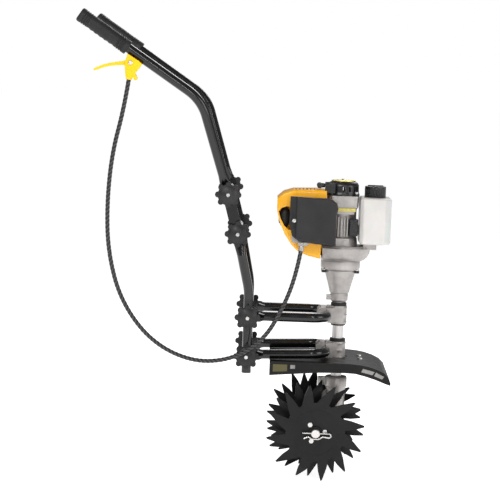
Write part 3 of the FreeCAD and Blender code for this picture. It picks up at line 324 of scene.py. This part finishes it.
BLACK_TUBE = enamel("black_enamel", (0.0030, 0.0028, 0.0029), (0.0058, 0.0054, 0.0056),
                    0.14, 0.26, 0.4)
TINE_BLACK = enamel("tine_enamel", (0.0030, 0.0033, 0.0034), (0.0070, 0.0065, 0.0068), 0.28, 0.44, 0.05,
        0.22)
CAST = cast_metal("cast_aluminium", (0.31, 0.290, 0.278), (0.46, 0.437, 0.420))
CAST_DARK = cast_metal("cast_aluminium_dark", (0.22, 0.205, 0.195), (0.36, 0.34, 0.325))
TUBE_METAL = drawn_metal("anodised_tube", (0.56, 0.535, 0.53), (0.68, 0.655, 0.645), 0.3, 0.42, (1, 1,
        0.03), 0.8)
STEEL = drawn_metal("zinc_steel", (0.5, 0.49, 0.48), (0.74, 0.72, 0.70), 0.2, 0.34, (0.3, 1, 1))
CHROMATE = drawn_metal("yellow_zinc", (0.42, 0.36, 0.10), (0.60, 0.52, 0.18), 0.28, 0.42, (1, 0.3, 1))
RUBBER = moulded("rubber", (0.010, 0.0098, 0.0098), (0.022, 0.021, 0.021), 0.46, 0.62, 1500.0, 0.00012,
        Specular_IOR_Level=0.3)
KNOB = moulded("knob_nylon", (0.011, 0.0100, 0.0104), (0.023, 0.021, 0.0215), 0.36, 0.5, 1200.0, 0.0001,
        Specular_IOR_Level=0.32)
GUARD = moulded("guard_plastic", (0.0032, 0.0029, 0.0027), (0.0080, 0.0072, 0.0066), 0.3, 0.44, 800.0,
        0.00008,
                Specular_IOR_Level=0.22)
COVER = moulded("cover_plastic", (0.016, 0.0150, 0.0157), (0.028, 0.0265, 0.0277), 0.36, 0.48, 1300.0,
        0.00012,
                Specular_IOR_Level=0.25)
STARTER = moulded("starter_plastic", (0.0055, 0.0052, 0.0055), (0.013, 0.0125, 0.013), 0.24, 0.36, 900.0,
        0.00006)
YELLOW = moulded("shroud_plastic", (0.86, 0.39, 0.001), (0.94, 0.46, 0.002), 0.26, 0.36, 900.0, 0.00006,
                 Coat_Weight=0.2, Coat_Roughness=0.2)
LEVER = moulded("lever_plastic", (0.90, 0.50, 0.0008), (0.97, 0.58, 0.002), 0.24, 0.34, 900.0, 0.00006,
                Coat_Weight=0.15, Coat_Roughness=0.2)
TANK = moulded("tank_plastic", (0.55, 0.535, 0.515), (0.64, 0.625, 0.605), 0.34, 0.46, 500.0, 0.0001,
               Subsurface_Weight=0.3, Subsurface_Scale=0.008, IOR=1.45)
CABLE = conduit_plastic()
MUFFLER = enamel("muffler_enamel", (0.028, 0.026, 0.025), (0.06, 0.056, 0.052), 0.5, 0.68, 0.0)
LABEL_PALE = moulded("label_pale", (0.16, 0.15, 0.145), (0.26, 0.25, 0.245), 0.35, 0.45)
LABEL_OLIVE = moulded("label_olive", (0.046, 0.041, 0.010), (0.080, 0.072, 0.017), 0.35, 0.45)

MATERIAL_OF = {
    "drive_tube": TUBE_METAL,
    "engine_shroud": YELLOW,
    "lever_housing": LEVER,
    "throttle_lever": LEVER,
    "air_filter_cover": COVER,
    "starter_housing": STARTER,
    "starter_handle": STARTER,
    "fuel_cap": STARTER,
    "fuel_tank": TANK,
    "muffler": MUFFLER,
    "guard": GUARD,
    "guard_bracket": BLACK_TUBE,
    "tube_rings": RUBBER,
    "cylinder": CAST_DARK,
    "flywheel": CAST_DARK,
    "worm_wheel": CHROMATE,
    "carburettor": CAST,
}
STEEL_NODES = ("drive_shaft", "clutch_drum", "worm", "bearings", "tine_axle", "hitch_pins", "hub_bolts",
               "pivot_bolt_right", "pivot_bolt_left", "crankshaft", "clutch_shoes", "fasteners")
CAST_NODES = ("gearbox_housing", "gearbox_cover", "upper_clamp", "lower_clamp", "clamp_caps",
              "clutch_housing", "fan_housing", "crankcase")
BLACK_NODES = ("upper_bracket", "lower_bracket", "side_bar_right", "side_bar_left", "link_right",
        "link_left",
               "handle_right", "handle_left")


def material_for(node):
    if node in MATERIAL_OF:
        return MATERIAL_OF[node]
    if node in STEEL_NODES:
        return STEEL
    if node in CAST_NODES:
        return CAST
    if node in BLACK_NODES:
        return BLACK_TUBE
    if node.startswith("tine_"):
        return TINE_BLACK
    if node.startswith("knob_"):
        return KNOB
    return RUBBER


EDGE_OF = {
    "guard": 0.0008, "engine_shroud": 0.0006, "air_filter_cover": 0.0005, "crankcase": 0.0008,
    "gearbox_housing": 0.0009, "clamp_caps": 0.0009, "upper_clamp": 0.0009, "lower_clamp": 0.0009,
    "clutch_housing": 0.0007, "fan_housing": 0.0007, "starter_housing": 0.0007, "lever_housing": 0.0005,
    "throttle_lever": 0.0012, "tine_disc_right": 0.0007, "tine_disc_left": 0.0007,
    "tine_rotor_right": 0.0007, "tine_rotor_left": 0.0007, "carburettor": 0.0004, "muffler": 0.0005,
    "fuel_cap": 0.0005, "starter_handle": 0.0006, "cylinder": 0.0003, "gearbox_cover": 0.0006,
}


def dress_nodes():
    """Gives every CAD node its material, and softens the edges of the castings and mouldings."""
    for name, obj in NODES.items():
        mat = material_for(name)
        for slot in obj.material_slots:
            slot.link = "OBJECT"
            slot.material = mat
        if name in EDGE_OF:
            weld = obj.modifiers.new("weld", "WELD")
            weld.merge_threshold = 0.00001
            bevel(obj, EDGE_OF[name], 2, 38)


# ------------------------------------------------------------ camera, cable

def place_camera():
    cam_data = bpy.data.cameras.new("camera")
    cam_data.lens = CAMERA_LENS
    cam_data.sensor_width = 36.0
    cam_data.clip_end = 50.0
    cam = bpy.data.objects.new("camera", cam_data)
    bpy.context.scene.collection.objects.link(cam)
    yaw = CAMERA_YAW
    pitch = CAMERA_PITCH
    roll = CAMERA_ROLL
    forward = Vector((math.sin(yaw) * math.cos(pitch), math.cos(yaw) * math.cos(pitch), -math.sin(pitch)))
    flat = Vector((math.cos(yaw), -math.sin(yaw), 0.0))
    rise = flat.cross(forward)
    right = flat * math.cos(roll) + rise * math.sin(roll)
    up = rise * math.cos(roll) - flat * math.sin(roll)
    turn = Matrix((right, up, -forward)).transposed()
    cam.matrix_world = Matrix.Translation(CAMERA_PLACE) @ turn.to_4x4()
    bpy.context.scene.camera = cam


def route_points(name, points):
    """Points along the smooth NURBS line of a route."""
    curve = bpy.data.curves.new(name, "CURVE")
    curve.dimensions = "3D"
    curve.resolution_u = 24
    spline = curve.splines.new("NURBS")
    spline.points.add(len(points) - 1)
    for point, place in zip(spline.points, points):
        point.co = (*place, 1.0)
    spline.order_u = 3
    spline.use_endpoint_u = True
    obj = bpy.data.objects.new(name, curve)
    bpy.context.scene.collection.objects.link(obj)
    bpy.context.view_layer.update()
    mesh = bpy.data.meshes.new_from_object(obj)
    line = [v.co.copy() for v in mesh.vertices]
    bpy.data.meshes.remove(mesh)
    bpy.data.objects.remove(obj)
    bpy.data.curves.remove(curve)
    return line


def resample(line, step):
    """Evenly spaced points along a line, both ends kept."""
    lengths = [0.0]
    for a, b in zip(line, line[1:]):
        lengths.append(lengths[-1] + (b - a).length)
    total = lengths[-1]
    count = max(2, int(round(total / step)))
    out = []
    i = 0
    for k in range(count + 1):
        want = total * k / count
        while i < len(line) - 2 and lengths[i + 1] < want:
            i += 1
        span = max(lengths[i + 1] - lengths[i], 1e-9)
        out.append(line[i].lerp(line[i + 1], (want - lengths[i]) / span))
    return out


def tube_along(name, line, radius_at, material, sides=16):
    """Mesh tube on a line; radius_at gives the radius from the point's number and the angle round it."""
    verts = []
    faces = []
    side = None
    for i, p in enumerate(line):
        ahead = line[min(i + 1, len(line) - 1)] - line[max(i - 1, 0)]
        d = ahead.normalized()
        if side is None:
            side, _ = axis_frame(d)
        side = (side - d * side.dot(d)).normalized()
        up = d.cross(side)
        for k in range(sides):
            t = 2 * math.pi * k / sides
            r = radius_at(i, t)
            verts.append(p + side * (r * math.cos(t)) + up * (r * math.sin(t)))
    for i in range(len(line) - 1):
        for k in range(sides):
            a = i * sides + k
            b = i * sides + (k + 1) % sides
            faces.append((a, b, b + sides, a + sides))
    faces.append(tuple(range(sides)))
    faces.append(tuple(range((len(line) - 1) * sides, len(line) * sides)))
    mesh = mesh_from(name, verts, faces)
    clean_normals(mesh)
    return add_object(name, mesh, material)


def conduit(name, line):
    """One stretch of wound conduit along a line."""
    def groove_and_shade(i, turn):
        return 0.5 - 0.5 * math.cos(WOUND_STRANDS * turn - 2 * math.pi * i * WOUND_STEP / WOUND_PITCH)

    def radius_at(i, turn):
        return CABLE_RADIUS * (1.0 - WOUND_DEPTH * groove_and_shade(i, turn) ** 2)

    piece = tube_along(name, line, radius_at, CABLE, CABLE_SIDES)
    # Per-point mask for the conduit's painted highlight on the crowns and painted shade in the hollows.
    depth = piece.data.attributes.new("groove_and_shade", "FLOAT", "POINT")
    for n, value in enumerate(depth.data):
        value.value = groove_and_shade(n // CABLE_SIDES, 2 * math.pi * (n % CABLE_SIDES) / CABLE_SIDES)
    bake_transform(piece)
    return piece


def throttle_cable():
    """Conduit from the lever housing to the carburettor, in two stretches that meet on the right link.

    It crosses two joints, handle to link and link to frame.
    """
    line = resample(route_points("cable_route", CABLE_ROUTE), WOUND_STEP)
    meet = min(range(len(line)), key=lambda i: abs(line[i].z - CABLE_MEETS_Z) + max(0, i - len(line) // 2))
    upper = conduit("throttle_conduit_upper", line[:meet + 1])
    conduit("throttle_conduit_lower", line[meet:])
    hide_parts("throttle_cable")


# -------------------------------------------------------------------- grips

GRIP_RADIUS = 0.0165
GRIP_GROOVES = [
    (0.011, 0.0135, 0.0013), (0.0165, 0.019, 0.0013), (0.022, 0.0245, 0.0013),
    (0.106, 0.1085, 0.0011), (0.1115, 0.114, 0.0011), (0.117, 0.1195, 0.0011),
]


def grip_radius(dist):
    """Sleeve radius along the grip from its closed end."""
    base = GRIP_RADIUS
    for start, stop, drop in GRIP_GROOVES:
        if start <= dist <= stop:
            return base - drop
    if 0.0265 < dist < 0.104:
        swell = math.sin(math.pi * (dist - 0.0265) / 0.0775)
        return base - 0.0010 + 0.0006 * swell
    return base


def grip(side):
    """Moulded rubber grip: ribbed bands at both ends, waves under the fingers."""
    end = HANDLE_END.copy()
    bend = HANDLE_BEND.copy()
    end.y *= -side
    bend.y *= -side
    axis = (bend - end).normalized()
    start = end - axis * 0.005
    profile = [(0.0002, 0.004), (0.0, 0.011), (0.0006, 0.0138), (0.0018, 0.0154), (0.0034, 0.0163)]
    steps = 190
    for k in range(steps + 1):
        dist = 0.005 + (GRIP_LENGTH - 0.0005) * k / steps
        profile.append((dist, grip_radius(dist)))
    profile += [(0.1312, 0.0160), (0.1316, 0.0150), (0.1317, 0.0118)]

    def shape(dist, radius, turn):
        down = max(0.0, -math.sin(turn))
        wave = 0.0
        if 0.028 < dist < 0.103:
            wave = 0.0005 * down ** 2 * (math.cos(2 * math.pi * (dist - 0.028) / 0.0125) - 0.6)
        flute = 0.00005 * math.cos(24 * turn) if 0.0262 < dist < 0.1045 else 0.0
        return radius + wave + flute

    obj = lathe("grip_rubber_" + ("left" if side > 0 else "right"), start, axis, profile, RUBBER, 96, shape)
    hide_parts("grip_left" if side > 0 else "grip_right")
    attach(obj, "handle_left" if side > 0 else "handle_right")


# ------------------------------------------------------------------ details

def starter_top():
    """Olive pressed plate and its centre nut on the recoil starter."""
    origin = Vector((TUBE_X, 0, 0.5765))
    profile = [(0.0, 0.0275), (0.0018, 0.0285), (0.0032, 0.0282), (0.0038, 0.0265), (0.0034, 0.022),
               (0.0034, 0.0175), (0.0040, 0.0168), (0.0042, 0.006)]
    top = lathe("starter_top_plate", origin, Vector((0, 0, 1)), profile, CHROMATE, 64)
    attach(top, "frame")
    nut = lathe("starter_nut", origin + Vector((0, 0, 0.004)), Vector((0, 0, 1)),
                [(0, 0.0058), (0.0022, 0.0058), (0.0028, 0.0050)], STEEL, 6)
    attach(nut, "frame")


def quad(x0, x1, z0, z1, y):
    return [(x0, y, z0), (x1, y, z0), (x1, y, z1), (x0, y, z1)]


def labels():
    """Plain plates where the machine carries its labels, with nothing written on them."""
    y = LABEL_Y
    rear = [(-0.104, y, 0.1395), (-0.071, y, 0.1415), (-0.071, y, 0.1570), (-0.104, y, 0.1570)]
    small = [(-0.064, y, 0.1475), (-0.053, y, 0.1480), (-0.053, y, 0.1565), (-0.064, y, 0.1565)]
    front = [(0.100, y, 0.1455), (0.126, y, 0.1393), (0.131, y, 0.1470), (0.104, y, 0.1535)]
    corner = [(0.130, y, 0.1375), (0.149, y, 0.1302), (0.153, y, 0.1365), (0.134, y, 0.1460)]
    spots = [("label_rear", rear, LABEL_OLIVE), ("label_small", small, LABEL_PALE),
             ("label_front", front, LABEL_PALE), ("label_corner", corner, LABEL_PALE)]
    for name, corners, mat in spots:
        obj = plate(name, corners, 0.0004, (0, -1, 0), mat, 0.0001)
        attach(obj, "frame")


def engine_details():
    """Zinc bracket, and an ignition coil block that also stands as painted shade right of the cylinder
    fins, between the filter cover and the tank.
    """
    bracket = plate("throttle_bracket", quad(0.034, 0.076, 0.5095, 0.5175, -0.0435), 0.0025, (0, -1, 0),
            CHROMATE)
    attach(bracket, "frame")
    # Near black block: an ignition coil, and also painted shade beside the cylinder fins.
    coil = plate("ignition_coil_and_shade", quad(0.062, 0.083, 0.452, 0.492, -0.0415), 0.016, (0, 1, 0), STARTER,
            0.002)
    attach(coil, "frame")


def deck_bolt_heads():
    """Black heads drawn over the four bolts under the clutch flange."""
    profile = [(0, 0.0046), (0.0004, 0.0059), (0.0064, 0.0059), (0.0066, 0.0056)]
    for k, degrees in enumerate(DECK_BOLT_ANGLES):
        turn = math.radians(degrees)
        place = Vector((TUBE_X + DECK_BOLTS_R * math.cos(turn), DECK_BOLTS_R * math.sin(turn),
                DECK_BOLTS_Z))
        head = lathe("deck_bolt_head_%d" % (k + 1), place, Vector((0, 0, 1)), profile, BLACK_TUBE, 24)
        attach(head, "frame")


def lever_rivet():
    """Bright rivet head on each end of the throttle lever's pivot pin."""
    profile = [(0, 0.0048), (0.0006, 0.0048), (0.0008, 0.0036), (0.0016, 0.0032), (0.0021, 0.0018)]
    for name, reach in (("lever_rivet_outer", -0.0105), ("lever_rivet_inner", 0.0105)):
        place = LEVER_PIVOT + Vector((0, reach, 0))
        rivet = lathe(name, place, Vector((0, reach, 0)), profile, STEEL, 32)
        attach(rivet, "handle_right")


def spark_cap():
    """Rubber boot on the spark plug, behind the shroud's rear opening, with an oversize black elbow that
    also fills the opening as painted shade.
    """
    boot = lathe("spark_boot", Vector((-0.082, 0, 0.481)), Vector((-1, 0, 0)),
                 [(0, 0.0092), (0.004, 0.0098), (0.010, 0.0096), (0.016, 0.0088), (0.0195, 0.0066),
                         (0.0205, 0.002)],
                 RUBBER, 40)
    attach(boot, "frame")

    def oval(dist, radius, turn):
        return radius * 0.5 / math.sqrt(math.cos(turn) ** 2 + 0.25 * math.sin(turn) ** 2)

    # Oversize black elbow: part of the boot, and also painted shade filling the shroud's rear opening.
    elbow = lathe("spark_elbow_and_mouth_shade", Vector((-0.0885, -0.006, 0.4900)), Vector((0, -1, 0)),
                  [(0, 0.024), (0.008, 0.0265), (0.022, 0.0262), (0.030, 0.0235), (0.035, 0.017), (0.037,
                          0.006)],
                  RUBBER, 56, oval)
    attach(elbow, "frame")


# -------------------------------------------------------------------- stage

def studio_world():
    """Soft even light all round, behind a white background."""
    world = bpy.data.worlds.new("studio")
    bpy.context.scene.world = world
    world.use_nodes = True
    tree = world.node_tree
    soft = tree.nodes["Background"]
    soft.inputs["Color"].default_value = (1.0, 1.0, 1.0, 1.0)
    soft.inputs["Strength"].default_value = SOFT_LIGHT
    seen = tree.nodes.new("ShaderNodeBackground")
    seen.inputs["Color"].default_value = (1.0, 1.0, 1.0, 1.0)
    path = tree.nodes.new("ShaderNodeLightPath")
    mix = tree.nodes.new("ShaderNodeMixShader")
    tree.links.new(path.outputs["Is Camera Ray"], mix.inputs[0])
    tree.links.new(soft.outputs[0], mix.inputs[1])
    tree.links.new(seen.outputs[0], mix.inputs[2])
    tree.links.new(mix.outputs[0], tree.nodes["World Output"].inputs["Surface"])


def stage():
    mesh = mesh_from("floor", [(-60, -60, 0), (60, -60, 0), (60, 60, 0), (-60, 60, 0)], [(0, 1, 2, 3)])
    floor = add_object("floor", mesh, None, smooth=False)
    floor.location.z = FLOOR_Z
    s = Shader("floor")
    s.colour(s.noise(3.0, 2.0), [(0.3, (0.945, 0.945, 0.945)), (0.7, (0.965, 0.965, 0.965))])
    s.roughness(s.noise(8.0), 0.7, 0.85)
    s.set(Emission_Color=(1.0, 1.0, 1.0, 1.0), Emission_Strength=FLOOR_GLOW)
    mesh.materials.append(s.material)
    studio_world()
    for name, place, (wide, tall), watts in LIGHTS:
        data = bpy.data.lights.new(name, "AREA")
        data.shape = "RECTANGLE"
        data.size = wide
        data.size_y = tall
        data.energy = watts
        lamp = bpy.data.objects.new(name, data)
        lamp.location = place
        lamp.rotation_euler = (LIGHTS_AIM_AT - Vector(place)).to_track_quat("-Z", "Y").to_euler()
        bpy.context.scene.collection.objects.link(lamp)
    bpy.context.scene.view_settings.view_transform = "Standard"


place_camera()
throttle_cable()
dress_nodes()
grip(-1)
grip(1)
starter_top()
labels()
engine_details()
deck_bolt_heads()
lever_rivet()
spark_cap()
stage()
